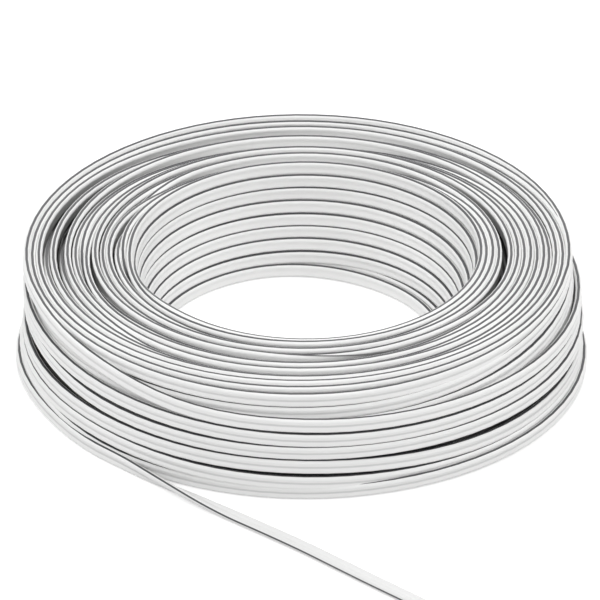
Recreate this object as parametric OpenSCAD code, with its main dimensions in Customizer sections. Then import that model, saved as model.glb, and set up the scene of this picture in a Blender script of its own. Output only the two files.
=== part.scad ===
// A ring of flat twin-core speaker cable, lying flat, with its free end led off to the front.
// Millimetres. The origin is on the ring's axis, at the surface that it lies on; +Z is up and -Y is the front.

/* [Cable] */
// Width of the flat cable, across both cores
cable_w = 4.7; // [4.3:0.1:5.4]
// Thickness of the cable, which is the diameter of one core's insulation
cable_t = 2.15; // [1.9:0.05:2.3]
// Thickness of the web that joins the two cores
web_t = 1.45; // [1.1:0.05:1.8]
// Diameter of one stranded copper conductor
conductor_d = 1.15; // [0.8:0.05:1.3]
// Clearance between a conductor and its bore, on the radius
conductor_gap = 0.05; // [0.03:0.01:0.1]

/* [Ring] */
// Radius of the hole at the top of the ring
hole_r_top = 55.6; // [50:0.1:70]
// Radius of the hole at the foot of the ring, where the inner turns lean in
hole_r_foot = 47; // [42:0.1:50]
// Layers of turns across the top of the ring
top_layers = 15; // [10:1:18]
// Rows of turns up the outer wall
outer_rows = 8; // [6:1:10]
// Rows of turns that show down the inner wall
inner_rows = 9; // [7:1:11]
// Space between one layer and the next
layer_gap = 0.08; // [0:0.01:0.15]
// Space between one row and the next
row_gap = 0.22; // [0:0.01:0.3]
// How far a turn of the top may sink below its neighbours
top_dip = 1.8; // [0:0.1:2.5]
// How far a turn of the outer wall may stand back from its neighbours
wall_dip = 0.5; // [0:0.05:0.8]
// How far the foot's outer turn stands back from the wall above it
foot_set_back = 1.4; // [1:0.1:1.8]
// Depth of the flat on which each turn of the foot rests
foot_flat = 0.12; // [0.05:0.01:0.2]

/* [Last turn] */
// Angle at which the free end leaves the ring, seen from above and counted from +X
leave_angle = 226; // [222:1:230]
// Angle of the last turn from its hidden end, inside the wall, to where it leaves the ring
last_turn_span = 230; // [215:1:240]
// Angle towards which the last turn stands out from the ring
last_turn_lean = 190; // [184:1:196]
// How far the last turn's centre lies off the ring's axis
last_turn_offset = 2.5; // [2:0.1:3]
// How far the last turn stands out from the foot where it leaves the ring
last_turn_proud = 3.2; // [3:0.1:3.6]
// Slope of the last turn, which comes down to the floor where it leaves the ring
last_turn_slope = 0.9; // [0.7:0.1:1.2]

/* [Free end] */
// Length over which the free end stays on its edge
upright_run = 4; // [2:1:8]
// Length over which it then turns over on to its wide face
twist_run = 56; // [45:1:70]
// Space between the ring's last turn and the free end's first ring
joint_gap = 0.02; // [0:0.01:0.1]

/* [Hidden] */
$fn = 96;
WHITE = [0.93, 0.93, 0.92];
COPPER = [0.78, 0.45, 0.28];

lobe_r = cable_t / 2;
lobe_x = (cable_w - cable_t) / 2;
layer_pitch = cable_t + layer_gap;
row_pitch = cable_w + row_gap;
ring_h = outer_rows * row_pitch - row_gap;
outer_r = hole_r_top + top_layers * layer_pitch - layer_gap;
foot_z = cable_w / 2 - foot_flat;
foot_outer_r = outer_r - foot_set_back;
foot_layers = floor((foot_outer_r - hole_r_foot) / layer_pitch);
hole_lean = (hole_r_top - hole_r_foot) / (inner_rows - 1);
section_sides = 16;
bore_sides = 8;

// Route of the free end along the floor, from just past the ring to its cut end
ROUTE = [[-54, -72], [-47, -78.4], [-39.5, -84.6], [-31.5, -90.8], [-21, -98.8], [-10, -107.4],
         [1, -116.3], [11, -125], [21, -133.8], [31, -142.4], [41, -151], [46, -155.3]];

// A fixed scatter from 0 to 1, which sets neighbouring turns apart
function scatter(i) = (1 + sin(137.5 * i)) / 2;

// Centre of each turn that shows in the ring's section, as [radius, height]
function outer_turn(j) = [outer_r - lobe_r - wall_dip * scatter(j), cable_w / 2 + j * row_pitch];
function top_turn(k) =
    [hole_r_top + lobe_r + k * layer_pitch, ring_h - cable_w / 2 - top_dip * scatter(k)];
function inner_turn(j) =
    [hole_r_foot + lobe_r + j * hole_lean,
     foot_z + (ring_h - cable_w / 2 - foot_z) * j / (inner_rows - 1)];
function foot_turn(k) = [foot_outer_r - lobe_r - k * layer_pitch, foot_z];

outer_turns = [for (j = [1 : outer_rows - 1]) outer_turn(j)];
top_turns = [for (k = [top_layers - 2 : -1 : 1]) top_turn(k)];
inner_turns = [for (j = [inner_rows - 1 : -1 : 0]) inner_turn(j)];
foot_turns = [for (k = [foot_layers - 1 : -1 : 0]) foot_turn(k)];

// The cable's section, standing on its edge
module cable_section() {
    for (side = [-1, 1])
        translate([0, side * lobe_x]) circle(r = lobe_r);
    square([web_t, 2 * lobe_x], center = true);
}

// Section of the whole ring: the turns that show, around the wound mass that they close in
module ring_section() {
    lift = [0, lobe_x];
    polygon(concat(
        [for (p = outer_turns) p],
        [for (p = top_turns) p + lift],
        [for (p = inner_turns) p],
        [for (p = foot_turns) p - lift]
    ));
    for (p = concat(outer_turns, top_turns, inner_turns, foot_turns))
        translate(p) cable_section();
}

// The last turn, which comes out of the wall, runs round the outside of the foot and slopes down to the floor
last_turn_r = foot_outer_r + last_turn_proud - lobe_r
    - last_turn_offset * cos(leave_angle - last_turn_lean);
last_turn_centre = last_turn_offset * [cos(last_turn_lean), sin(last_turn_lean), 0]
    + [0, 0, last_turn_r * sin(last_turn_slope)];
leave_tangent = [cos(leave_angle + 90), sin(leave_angle + 90), 0];

module last_turn() {
    translate(last_turn_centre)
        rotate(a = -last_turn_slope, v = leave_tangent)
            rotate_extrude(angle = last_turn_span, start = leave_angle - last_turn_span, $fn = 180)
                translate([last_turn_r, foot_z]) cable_section();
}

module coil() {
    color(WHITE) difference() {
        union() {
            rotate_extrude($fn = 180) ring_section();
            last_turn();
        }
        translate([0, 0, -cable_w]) cylinder(r = 2 * outer_r, h = cable_w);
    }
}

// Plan of the free end: it starts at the end of the last turn and follows the route
leave_point = [last_turn_centre.x, last_turn_centre.y]
    + last_turn_r * [cos(leave_angle), sin(leave_angle)]
    + joint_gap * [leave_tangent.x, leave_tangent.y];
plan = concat([leave_point], ROUTE);
last = len(plan) - 1;

function direction(i) =
    i == 0 ? [leave_tangent.x, leave_tangent.y]
    : let (d = plan[min(i + 1, last)] - plan[i - 1]) d / norm(d);
function run_to(i) = i == 0 ? 0 : run_to(i - 1) + norm(plan[i] - plan[i - 1]);

// Lean of the section at a point of the plan: 0 stands on its edge and 90 lies on its wide face
function lean(i) =
    let (t = max(0, min(1, (run_to(i) - upright_run) / twist_run))) 90 * t * t * (3 - 2 * t);

// A point of the section at plan point i, a across the width towards the marked edge and b across the thickness
function swept(i, a, b) =
    let (
        d = direction(i),
        out = [d.y, -d.x, 0],
        up = [0, 0, 1],
        centre = [plan[i].x, plan[i].y, lobe_r + lobe_x * cos(lean(i))]
    )
    centre + a * (up * cos(lean(i)) + out * sin(lean(i))) + b * (out * cos(lean(i)) - up * sin(lean(i)));

// A closed tube along the whole plan, with a ring of the given outline at each of its points
module sweep(outline) {
    n = len(outline);
    polyhedron(
        points = [for (i = [0 : last]) for (p = outline) swept(i, p.x, p.y)],
        faces = concat(
            [[for (j = [0 : n - 1]) j]],
            [for (i = [0 : last - 1]) for (j = [0 : n - 1]) for (half = [0, 1])
                half == 0
                    ? [i * n + j, (i + 1) * n + j, i * n + (j + 1) % n]
                    : [i * n + (j + 1) % n, (i + 1) * n + j, (i + 1) * n + (j + 1) % n]],
            [[for (j = [n - 1 : -1 : 0]) last * n + j]]
        ),
        convexity = 6
    );
}

function arc_points(x, r, from, to, sides) =
    [for (k = [0 : sides]) let (t = from + (to - from) * k / sides) [x + r * cos(t), r * sin(t)]];
function round_outline(x, r) =
    [for (k = [0 : bore_sides - 1]) let (t = 360 * k / bore_sides) [x + r * cos(t), r * sin(t)]];
waist = 180 - asin(web_t / cable_t);
cable_outline = concat(
    arc_points(lobe_x, lobe_r, -waist, waist, section_sides / 2 - 1),
    arc_points(-lobe_x, lobe_r, 180 - waist, 180 + waist, section_sides / 2 - 1)
);

// Insulation of the free end, with a bore for each conductor
module free_end() {
    color(WHITE) difference() {
        sweep(cable_outline);
        for (side = [-1, 1])
            sweep(round_outline(side * lobe_x, conductor_d / 2 + conductor_gap));
    }
}

// Conductor under the marked edge
module marked_conductor() {
    color(COPPER) sweep(round_outline(lobe_x, conductor_d / 2));
}

// Conductor of the plain core
module plain_conductor() {
    color(COPPER) sweep(round_outline(-lobe_x, conductor_d / 2));
}

coil();
free_end();
marked_conductor();
plain_conductor();
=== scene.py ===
import math
import random

import bmesh
import bpy
import numpy as np
from mathutils import Matrix, Vector


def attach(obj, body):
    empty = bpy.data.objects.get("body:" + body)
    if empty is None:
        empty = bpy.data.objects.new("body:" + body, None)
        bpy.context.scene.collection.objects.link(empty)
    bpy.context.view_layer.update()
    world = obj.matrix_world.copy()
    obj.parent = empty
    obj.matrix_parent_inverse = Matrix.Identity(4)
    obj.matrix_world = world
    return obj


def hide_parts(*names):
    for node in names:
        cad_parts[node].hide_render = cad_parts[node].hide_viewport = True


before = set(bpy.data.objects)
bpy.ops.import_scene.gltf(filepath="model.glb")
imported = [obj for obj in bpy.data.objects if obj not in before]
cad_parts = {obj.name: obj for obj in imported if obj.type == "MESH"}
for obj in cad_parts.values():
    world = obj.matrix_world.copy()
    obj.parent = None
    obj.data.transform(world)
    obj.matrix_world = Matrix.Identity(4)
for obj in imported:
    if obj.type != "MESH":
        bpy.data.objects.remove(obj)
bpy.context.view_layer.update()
MM = 0.001

# Camera
# A long lens looks down on the ring from in front, from about a metre and a half away.
# The picture shows the ring whole and cuts the free end off at its lower edge.
VIEW_ELEVATION = math.radians(30.57)
VIEW_DISTANCE = 1.400
AIM = Vector((0, 0, 19 * MM))
camera = bpy.data.objects.new("camera", bpy.data.cameras.new("camera"))
bpy.context.scene.collection.objects.link(camera)
camera.location = AIM + VIEW_DISTANCE * Vector((0, -math.cos(VIEW_ELEVATION), math.sin(VIEW_ELEVATION)))
camera.rotation_euler = (math.pi / 2 - VIEW_ELEVATION, 0, 0)
camera.data.sensor_width = 36
camera.data.lens = 260.4
camera.data.clip_start, camera.data.clip_end = 0.05, 50
bpy.context.scene.camera = camera

# Route of the cable
# Flat twin cable, two cores side by side in white PVC, wound by hand on its edge into a ring of sixteen
# layers. A layer climbs from the foot to the top or comes down again, a row a turn, then passes outward.
# Angles are in degrees, seen from above and counted from +X, so that the front is at 270.
CABLE_W = 4.7 * MM
CABLE_T = 2.15 * MM
WEB_T = 1.45 * MM
LOBE_R = CABLE_T / 2
LOBE_X = (CABLE_W - CABLE_T) / 2
RING_H = 39.14 * MM
OUTER_R = 88.97 * MM
HOLE_R_TOP = 55.6 * MM
HOLE_R_FOOT = 47 * MM
# How far the hole's upper edge lies off the ring's axis, to the right
HOLE_SHIFT = 2 * MM

# Rows of the innermost layer, of the layers hidden in the ring, of the four outside those, and of the
# last layer but one
INNER_ROWS = range(9)
HIDDEN_ROWS = range(7)
FAR_ROWS = range(8)
NEXT_ROWS = [0, 0.95, 1.9, 2.85, 3.8, 4.75, 5.74, 7]
# Where each pair of layers passes outward at the top, the arc over which its turns climb, and how far
# a gap opens there, from 0 to 1, with the turns beneath it darkened by painted shade
PASSES = [(265, 90, 0), (232, 100, 0), (50, 130, 1), (270, 100, 0), (318, 100, 0.2), (198, 110, 0.9),
          (194, 110, 0.9), (352, 178, 1)]
# How far each layer's top turn sinks in front, on the right, at the back and on the left, in millimetres
DIPS = [(0.9, 0.0, 0.0, 0.2), (0.4, 0.5, 1.5, 0.0), (2.0, 0.2, 2.7, 0.7), (0.4, 0.9, 0.0, 0.2),
        (1.8, 0.3, 1.5, 0.9), (0.1, 0.7, 0.0, 0.3), (2.2, 0.0, 1.5, 0.8), (0.6, 0.8, 2.8, 0.2),
        (2.0, 0.2, 3.4, 0.9), (0.4, 0.9, 0.4, 0.3), (2.1, 0.3, 1.8, 1.0), (0.5, 0.9, 3.0, 0.4),
        (0.8, 0.2, 0.4, 0.9), (1.8, 0.8, 1.8, 0.4), (3.2, 0.2, 0.4, 0.6), (0.0, 0.0, -0.8, 0.0)]
# The outer layer's turns lie askew. Height of each turn's upper edge on the left, at 200 degrees,
# at 225, 245, 272 and 310, and at the back, at 450 and 510, in millimetres
TURN_STOPS = (200, 225, 245, 272, 310, 450, 510)
OUTER_TURNS = [(39.0, 34.8, 30.2, 28.1, 27.0, 28.9, 28.9), (29.0, 26.6, 24.9, 23.1, 21.9, 24.0, 24.1),
               (24.2, 21.0, 19.7, 18.6, 17.4, 19.2, 18.3), (15.8, 15.3, 14.5, 13.6, 10.9, 14.4, 13.5),
               (11.6, 10.9, 9.5, 8.2, 6.5, 9.6, 8.9), (7.9, 5.2, 4.8, 4.7, 5.2, 4.9, 5.0)]
# Where the cable's inner end lies, and where its free end leaves the ring, touching the floor
START = -72
LEAVE = 225.06
LEAVE_R = 89.70 * MM


def smooth(t):
    """An even rise from 0 to 1."""
    t = min(max(t, 0.0), 1.0)
    return t * t * (3 - 2 * t)


def bump(angle, centre, width):
    """A swelling from 0 to 1 at one side of the ring, which fades out over the width on either side."""
    away = abs((angle - centre + 180) % 360 - 180)
    return smooth(1 - away / width)


def wander(angle, seed, size):
    """A slow change along the cable, of about that size, which never repeats from turn to turn."""
    draw = random.Random(seed)
    waves = [(draw.uniform(0.25, 1.7), draw.uniform(0, 360)) for _ in range(5)]
    return size * sum(math.sin(math.radians(angle * f + p)) for f, p in waves) / 2


def inner_wall(angle, z):
    """Radius of the inner wall's turns, which lean in towards the foot."""
    up = z / RING_H
    return (HOLE_R_FOOT + (HOLE_R_TOP - HOLE_R_FOOT) * up + LOBE_R
            + HOLE_SHIFT * up * math.cos(math.radians(angle)))


def outer_wall(angle, z):
    """Radius of the outer wall's turns, which slip out at both sides and stand back in front."""
    right = 1.5 * smooth((33 * MM - z) / (6 * MM)) + 1.2 * smooth((19 * MM - z) / (5 * MM))
    left = 0.6 * smooth((24 * MM - z) / (12 * MM)) + 1.2 * smooth((11 * MM - z) / (4 * MM))
    foot = -0.8 * smooth((4 * MM - z) / (4 * MM))
    front = foot - 1.2 * smooth(z / (32 * MM))
    return OUTER_R - LOBE_R + (right * bump(angle, 352, 70) + left * bump(angle, 188, 60)
                               + front * bump(angle, 275, 75)) * MM


def top_dip(n, angle):
    """How far the top turn of a layer sinks at an angle."""
    front, right, back, left = DIPS[n]
    a = math.radians(angle)
    across = (right if math.cos(a) > 0 else left) * math.cos(a) ** 2
    return (across + (back if math.sin(a) > 0 else front) * math.sin(a) ** 2) * MM


def place(layer, angle, z):
    """The point of a layer at an angle and a height, with the unevenness of a hand-wound ring."""
    inside, outside = inner_wall(angle, z), outer_wall(angle, z)
    radius = inside + (outside - inside) * layer / (LAYERS - 1) + wander(angle, 3, 0.2) * MM
    return radius * math.cos(math.radians(angle)), radius * math.sin(math.radians(angle)), z


LAYERS = 2 * len(PASSES)
NEXT_LAYER = LAYERS - 2
# Degrees from one ring of the mesh to the next, where the cable shows and where it lies hidden
FINE, COARSE = 4.5, 20
# Part of the climbing arc over which a turn changes rows
CLIMB_PART = 0.6
# How far the turns of the inner wall lean, in degrees
INNER_LEAN = 2.5
# How far the printed line lies off the middle of the edge, towards the hole, on the inner wall and at
# the back
INNER_SHIFT = 0.25 * MM
BACK_SHIFT = 0.18 * MM
# For each ring of the mesh: its centre, how far it leans from standing on its edge, how much painted shade
# darkens it all round, how much painted shade darkens its flanks, and how far its printed line is shifted
points, leans, painted_shade, packed_flank_shade, line_shift = [], [], [], [], []
angle = START
for n in range(LAYERS - 1):
    top, climb, gap = PASSES[n // 2]
    # How long before its arc's end a turn starts to change rows, as a part of the arc
    early = 1.1 + 0.1 * gap if n % 2 else 1 - 0.55 * gap
    rows = (INNER_ROWS if n == 0 else HIDDEN_ROWS if n < NEXT_LAYER - 4 else FAR_ROWS if n < NEXT_LAYER
            else NEXT_ROWS)
    steps = [row / rows[-1] for row in rows]
    if n % 2:
        steps.reverse()
    first_climb = angle + (top - angle - climb) % 360 + climb
    end = first_climb + 360 * (len(steps) - 1)
    while angle < end - 0.01:
        # A turn rises after the one before it has passed outward, and sinks before that one comes
        share = steps[0]
        for k in range(1, len(steps)):
            since = (angle - first_climb - 360 * (k - 1)) / climb
            share += (steps[k] - steps[k - 1]) * smooth((since + early) / CLIMB_PART)
        if n == NEXT_LAYER:
            # On the right its upper turns lie close under the rim
            share += 0.038 * bump(angle, 0, 75) * (1 - smooth((share - 0.8) / 0.1))
        passed = smooth((angle - end) / (0.5 * climb) + 2) if n < NEXT_LAYER else 0
        # The first stretch, and the second layer's lowest turn on the right, lie a layer further in
        layer = n + passed - (1 - smooth((angle - 48) / 62) if n == 0 else 0)
        if n == 1:
            layer -= 0.9 * (1 - smooth(8 * share)) * bump(angle, 20, 95)
        dip = (1 - passed) * top_dip(n, angle) + passed * top_dip(n + 1, angle)
        z = CABLE_W / 2 + (RING_H - CABLE_W) * share - dip * share ** 3
        z += wander(angle, 5, 0.12) * MM * min(1, 8 * share)
        points.append(place(layer, angle, z))
        leans.append(wander(angle, 7, 3) + (INNER_LEAN if n == 0 else 0))
        shallow = 0.55 if n == NEXT_LAYER else 0.85 + 0.07 * gap
        depth = 0 if n == 0 or n == 1 and share < 0.1 else 1 - smooth((share - shallow) / 0.08)
        # A turn lying buried under others is darkened all round with painted shade
        painted_shade.append(depth)
        aside = math.cos(math.radians(angle)) ** 2
        # The flanks of the packed layers get painted shade, strongest on the ring's left and right
        packed_flank_shade.append(min(0.1 + 1.4 * aside, 1) if 0 < n < NEXT_LAYER else 0)
        line_shift.append(INNER_SHIFT * (1 - passed) if n == 0
                          else BACK_SHIFT * bump(angle, 90, 100) * smooth((share - 0.8) / 0.1))
        seen = n == 0 or depth < 1
        angle += FINE if seen else COARSE

# The outer layer starts on the top, comes down the outside and leaves the ring from its foot, on the left.
# Its height runs smoothly from stop to stop, and its last turn stands out a little on the right and left.
stops = [(top - 400, RING_H / MM + 1), (90, RING_H / MM + 1)]
for k, heights in enumerate(OUTER_TURNS):
    stops += [(stop + 360 * k, height) for stop, height in zip(TURN_STOPS, heights)]
leave_at = LEAVE + 360 * len(OUTER_TURNS)
stops += [(leave_at - 25, 5.2), (leave_at, CABLE_W / MM)]
stop_angles, stop_heights = np.array(stops).T
slopes = np.gradient(stop_heights, stop_angles)
slopes[:2] = slopes[-1] = 0
angle = top - 360
while angle < leave_at - FINE / 2:
    i = int(np.searchsorted(stop_angles, angle, side="right")) - 1
    width = stop_angles[i + 1] - stop_angles[i]
    t = (angle - stop_angles[i]) / width
    edge = (stop_heights[i] + (stop_heights[i + 1] - stop_heights[i]) * t * t * (3 - 2 * t)
            + width * t * (1 - t) * (slopes[i] * (1 - t) - slopes[i + 1] * t))
    z = min(edge * MM, RING_H - top_dip(LAYERS - 1, angle)) - CABLE_W / 2
    out = 0.8 * bump(angle, 322, 70) + 0.6 * bump(angle, 190, 40) if angle > leave_at - 345 else 0
    x, y, z = place(NEXT_LAYER + smooth((angle + 8) / 50) + out, angle, z)
    near = smooth((angle - leave_at) / 50 + 1)
    pull = 1 - near + near * LEAVE_R / math.hypot(x, y)
    points.append((x * pull, y * pull, z))
    leans.append(wander(angle, 7, 3) * (1 - near))
    painted_shade.append(0)
    packed_flank_shade.append(0)
    line_shift.append(BACK_SHIFT * bump(angle, 90, 100) if angle < 190 else 0)
    angle += FINE
ring_count = len(points)

# The free end runs along the floor, through the listed points, in millimetres, and turns over on to
# its wide face, marked edge to the front
ROUTE = [(-54, -72), (-47, -78.4), (-39.5, -84.6), (-31.5, -90.8), (-21, -98.8), (-10, -107.4),
         (1, -116.3), (11, -125), (21, -133.8), (31, -142.4), (41, -151), (46, -155.3)]
UPRIGHT_RUN = 4 * MM
TWIST_RUN = 56 * MM
CUT_PAST = 0.15 * MM
leave = LEAVE_R * Vector((math.cos(math.radians(LEAVE)), math.sin(math.radians(LEAVE))))
route = [Vector(points[-1][:2]), leave] + [Vector(p) * MM for p in ROUTE]
route[-1] += (route[-1] - route[-2]).normalized() * CUT_PAST
route.append(2 * route[-1] - route[-2])
run, previous = 0.0, leave
for i in range(1, len(route) - 2):
    p0, p1, p2, p3 = route[i - 1:i + 3]
    for t in (0, 0.25, 0.5, 0.75) if i < len(route) - 3 else (0, 0.25, 0.5, 0.75, 1):
        spot = 0.5 * (2 * p1 + (p2 - p0) * t + (2 * p0 - 5 * p1 + 4 * p2 - p3) * t ** 2
                      + (3 * p1 - p0 - 3 * p2 + p3) * t ** 3)
        run += (spot - previous).length
        previous = spot
        lean = 90 * smooth((run - UPRIGHT_RUN) / TWIST_RUN)
        points.append((spot.x, spot.y, LOBE_R + LOBE_X * math.cos(math.radians(lean))))
        leans.append(lean)
        # The free end's face is darkened a little with painted shade as it turns over on to the floor
        painted_shade.append(0.15 * smooth(run / TWIST_RUN))
        packed_flank_shade.append(0)
        line_shift.append(0.45 * MM * smooth(run / TWIST_RUN) * (1 - 0.6 * smooth(run / TWIST_RUN - 1)))

# Insulation
# One length of soft white PVC from end to end, swept along the route: two round lobes and a thin web,
# with a dark line printed along the narrow edge of one core.
SIDES = 20
line = np.array(points)
along = np.concatenate([[0], np.cumsum(np.linalg.norm(np.diff(line, axis=0), axis=1))])
waist = math.pi - math.asin(WEB_T / CABLE_T)
outline = np.array([
    (side * (LOBE_X + LOBE_R * math.cos(t)), side * LOBE_R * math.sin(t))
    for side in (1, -1) for t in np.linspace(-waist, waist, SIDES // 2)
])
# Distance round the section from the middle of the marked edge
around = np.linalg.norm(np.roll(outline, -1, axis=0) - outline, axis=1)
around = np.concatenate([[0], np.cumsum(around)])
around -= around[SIDES // 4 - 1:SIDES // 4 + 1].mean()

tangent = np.gradient(line, along, axis=0)
tangent /= np.linalg.norm(tangent, axis=1)[:, None]
outward = np.stack([tangent[:, 1], -tangent[:, 0], 0 * tangent[:, 0]], axis=1)
outward /= np.linalg.norm(outward, axis=1)[:, None]
upward = np.cross(outward, tangent)
turn = np.radians(leans)[:, None]
wide = upward * np.cos(turn) + outward * np.sin(turn)
flat = outward * np.cos(turn) - upward * np.sin(turn)
rings = line[:, None] + outline[None, :, :1] * wide[:, None] + outline[None, :, 1:] * flat[:, None]

count = len(line)
faces = [(i * SIDES + j, i * SIDES + (j + 1) % SIDES,
          (i + 1) * SIDES + (j + 1) % SIDES, (i + 1) * SIDES + j)
         for i in range(count - 1) for j in range(SIDES)]
faces.append(tuple(range(SIDES - 1, -1, -1)))
faces.append(tuple(range((count - 1) * SIDES, count * SIDES)))
mesh = bpy.data.meshes.new("cable")
mesh.from_pydata([tuple(p) for p in rings.reshape(-1, 3)], [], faces)
mesh.update()
cable = bpy.data.objects.new("cable", mesh)
bpy.context.scene.collection.objects.link(cable)
# The UV map holds the way round the section from the printed line, and the way along the cable
uv = np.zeros((len(mesh.loops), 2))
for f in range(len(faces) - 2):
    i, j = divmod(f, SIDES)
    corners = ((j, i), (j + 1, i), (j + 1, i + 1), (j, i + 1))
    uv[4 * f:4 * f + 4] = [(around[a] + line_shift[b], along[b]) for a, b in corners]
uv[4 * (len(faces) - 2):] = (LOBE_R, 0)
mesh.uv_layers.new(name="cable_uv").data.foreach_set("uv", uv.ravel())
# Painted shade: a turn is darkened all round where it lies buried, and on its sides where it stands packed
# between two others
# Where round the section the painted shade on the flanks begins, how fast it fades in, and how dark it
# gets
FLANK_FROM = 1.7 * MM
FLANK_FADE = 1.2 * MM
FLANK_SHADE_DARKNESS = 0.75
flank_shade_ramp = np.clip((np.abs(around[:SIDES]) - FLANK_FROM) / FLANK_FADE, 0, 1)
painted_shade_at_points = np.maximum(np.array(painted_shade)[:, None], FLANK_SHADE_DARKNESS * np.array(packed_flank_shade)[:, None] * flank_shade_ramp)
shade = mesh.attributes.new("painted_shade", "FLOAT", "POINT")
shade.data.foreach_set("value", painted_shade_at_points.ravel())
mesh.shade_smooth()

PVC_WHITE = (0.86, 0.86, 0.855, 1)
# Grey of the painted shade in the groove between the two lobes
GROOVE_SHADE_GREY = (0.66, 0.66, 0.66, 1)
# Dark grey of the printed line, and in the ring also of the painted shade in the crease beside it
LINE_AND_CREASE_SHADE_GREY = (0.065, 0.065, 0.07, 1)
# The near-black of the painted shade on buried turns and packed flanks
PAINTED_SHADE_COLOUR = (0.05, 0.05, 0.05, 1)
pvc = bpy.data.materials.new("white_pvc")
pvc.use_nodes = True
nodes, links = pvc.node_tree.nodes, pvc.node_tree.links
shader = nodes["Principled BSDF"]
shader.inputs["Roughness"].default_value = 0.36


def fill(socket, value):
    if isinstance(value, bpy.types.NodeSocket):
        links.new(value, socket)
    else:
        socket.default_value = value


def maths(operation, *values):
    node = nodes.new("ShaderNodeMath")
    node.operation = operation
    for socket, value in zip(node.inputs, values):
        fill(socket, value)
    return node.outputs[0]


def ramp(value, low, high, at_low, at_high):
    node = nodes.new("ShaderNodeMapRange")
    node.interpolation_type = "SMOOTHSTEP"
    for name, number in (("Value", value), ("From Min", low), ("From Max", high),
                         ("To Min", at_low), ("To Max", at_high)):
        fill(node.inputs[name], number)
    return node.outputs["Result"]


def blend(factor, first, second):
    node = nodes.new("ShaderNodeMix")
    node.data_type = "RGBA"
    links.new(factor, node.inputs[0])
    fill(node.inputs[6], first)
    fill(node.inputs[7], second)
    return node.outputs[2]


coords = nodes.new("ShaderNodeUVMap")
coords.uv_map = "cable_uv"
split = nodes.new("ShaderNodeSeparateXYZ")
links.new(coords.outputs["UV"], split.inputs[0])
from_edge = maths("ABSOLUTE", split.outputs["X"])
# The printed line is narrower on the free end: in the ring it is painted wider and darker, taking in
# painted shade of the crease between two turns
LINE_AND_CREASE_SHADE_HALF = 0.44 * MM
FREE_LINE_HALF = 0.27 * MM
LINE_BLUR = 0.06 * MM
# Painted shade: the colour greys along the bottom of the groove between the two lobes
GROOVE_AT = (around[-1] - around[0]) / 4
GROOVE_HALF, GROOVE_FADE = 0.1 * MM, 0.55 * MM
ring_end = along[ring_count - 1]
half = ramp(split.outputs["Y"], ring_end, ring_end + TWIST_RUN, LINE_AND_CREASE_SHADE_HALF, FREE_LINE_HALF)
line_and_crease_shade = ramp(from_edge, maths("SUBTRACT", half, LINE_BLUR), maths("ADD", half, LINE_BLUR), 1, 0)
from_groove = maths("ABSOLUTE", maths("SUBTRACT", from_edge, GROOVE_AT))
groove_shade = ramp(from_groove, GROOVE_HALF, GROOVE_FADE, 1, 0)
printed_and_shaded = blend(line_and_crease_shade, blend(groove_shade, PVC_WHITE, GROOVE_SHADE_GREY), LINE_AND_CREASE_SHADE_GREY)
# The painted shade held in the attribute darkens the colour towards near-black
painted_shade_node = nodes.new("ShaderNodeAttribute")
painted_shade_node.attribute_name = "painted_shade"
links.new(blend(painted_shade_node.outputs["Fac"], printed_and_shaded, PAINTED_SHADE_COLOUR), shader.inputs["Base Color"])
mesh.materials.append(pvc)

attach(cable, "root")
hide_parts("coil", "free_end")

# Copper
# Each core's conductor is a bundle of thirty-seven bare copper strands, laid in three rings round one.
# They are cut off with the insulation at both ends of the cable, where each strand stands out a little.
STRAND_R = 0.08 * MM
STRAND_RINGS = [(0, 1), (2 * STRAND_R, 6), (4 * STRAND_R, 12), (6 * STRAND_R, 18)]
STRAND_OUT = 0.30 * MM
STRAND_IN = 0.40 * MM
STRAND_UNEVEN = 0.05 * MM
copper = bpy.data.materials.new("bare_copper")
copper.use_nodes = True
metal = copper.node_tree.nodes["Principled BSDF"]
metal.inputs["Metallic"].default_value = 1
metal.inputs["Roughness"].default_value = 0.3
metal.inputs["Base Color"].default_value = (0.85, 0.45, 0.28, 1)
for name in ("marked_conductor", "plain_conductor"):
    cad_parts[name].data.materials.clear()
    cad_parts[name].data.materials.append(copper)

shape = bmesh.new()
draw = random.Random(11)
for end, way in ((0, -1), (-1, 1)):
    out_of, across, through = Vector(way * tangent[end]), Vector(wide[end]), Vector(flat[end])
    for side in (1, -1):
        for ring_r, strands in STRAND_RINGS:
            for k in range(strands):
                a = 2 * math.pi * k / strands
                stands = STRAND_OUT + draw.uniform(-1, 1) * STRAND_UNEVEN
                middle = (Vector(points[end]) + across * (side * LOBE_X + ring_r * math.cos(a))
                          + through * ring_r * math.sin(a) + out_of * (stands - STRAND_IN) / 2)
                lie = Matrix.Translation(middle) @ out_of.to_track_quat("Z", "Y").to_matrix().to_4x4()
                bmesh.ops.create_cone(shape, cap_ends=True, segments=8, radius1=STRAND_R,
                                      radius2=STRAND_R, depth=stands + STRAND_IN, matrix=lie)
strand_mesh = bpy.data.meshes.new("cut_strands")
shape.to_mesh(strand_mesh)
shape.free()
strand_mesh.materials.append(copper)
cut_strands = bpy.data.objects.new("cut_strands", strand_mesh)
bpy.context.scene.collection.objects.link(cut_strands)
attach(cut_strands, "root")

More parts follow.
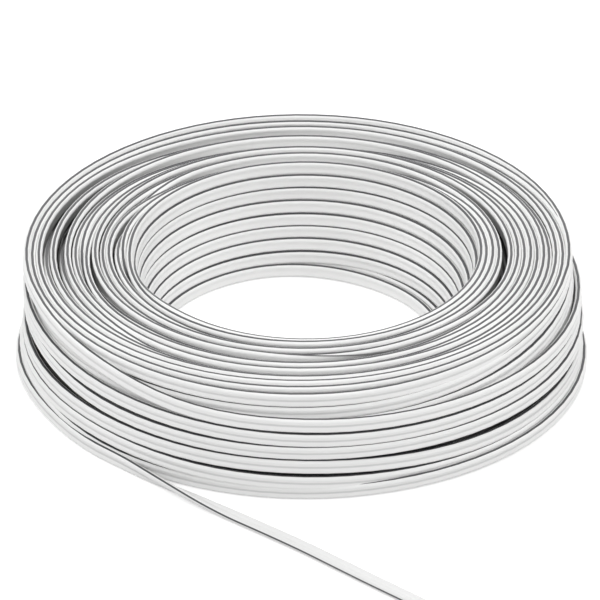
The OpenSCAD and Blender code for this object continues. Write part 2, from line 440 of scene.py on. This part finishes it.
# Floor and light
# A plain white floor, which glows for the camera and in reflections only, and large soft lamps all round.
bpy.ops.mesh.primitive_plane_add(size=8)
floor = bpy.context.object
floor.name = "floor"
paper = bpy.data.materials.new("floor_white")
paper.use_nodes = True
nodes, links = paper.node_tree.nodes, paper.node_tree.links
base = nodes["Principled BSDF"]
base.inputs["Base Color"].default_value = (0.7, 0.7, 0.7, 1)
base.inputs["Roughness"].default_value = 0.9
rays = nodes.new("ShaderNodeLightPath")
glow = nodes.new("ShaderNodeEmission")
glow.inputs["Strength"].default_value = 0.45
nothing = nodes.new("ShaderNodeEmission")
nothing.inputs["Strength"].default_value = 0
choose = nodes.new("ShaderNodeMixShader")
reflected = maths("MAXIMUM", rays.outputs["Is Glossy Ray"], rays.outputs["Is Transmission Ray"])
links.new(maths("MAXIMUM", rays.outputs["Is Camera Ray"], reflected), choose.inputs[0])
links.new(nothing.outputs[0], choose.inputs[1])
links.new(glow.outputs[0], choose.inputs[2])
both = nodes.new("ShaderNodeAddShader")
links.new(base.outputs[0], both.inputs[0])
links.new(choose.outputs[0], both.inputs[1])
links.new(both.outputs[0], nodes["Material Output"].inputs["Surface"])
floor.data.materials.append(paper)

world = bpy.data.worlds.new("studio")
bpy.context.scene.world = world
world.use_nodes = True
world.node_tree.nodes["Background"].inputs["Color"].default_value = (1, 1, 1, 1)
world.node_tree.nodes["Background"].inputs["Strength"].default_value = 0.36


def lamp(name, place_at, size, watts):
    data = bpy.data.lights.new(name, "AREA")
    data.size = size
    data.energy = watts
    light = bpy.data.objects.new(name, data)
    bpy.context.scene.collection.objects.link(light)
    light.location = place_at
    light.rotation_euler = (Vector((0, 0, 0.02)) - Vector(place_at)).to_track_quat("-Z", "Y").to_euler()


lamp("front", (0.0, -1.1, 0.9), 0.8, 7.2)
lamp("left", (-1.15, 0.1, 0.85), 0.8, 6)
lamp("right", (1.15, 0.0, 0.85), 0.8, 5.5)
lamp("back", (0.0, 1.25, 0.85), 1.2, 6)
lamp("top", (0.1, 0.2, 1.4), 0.9, 4.9)
bpy.context.scene.view_settings.view_transform = "Standard"
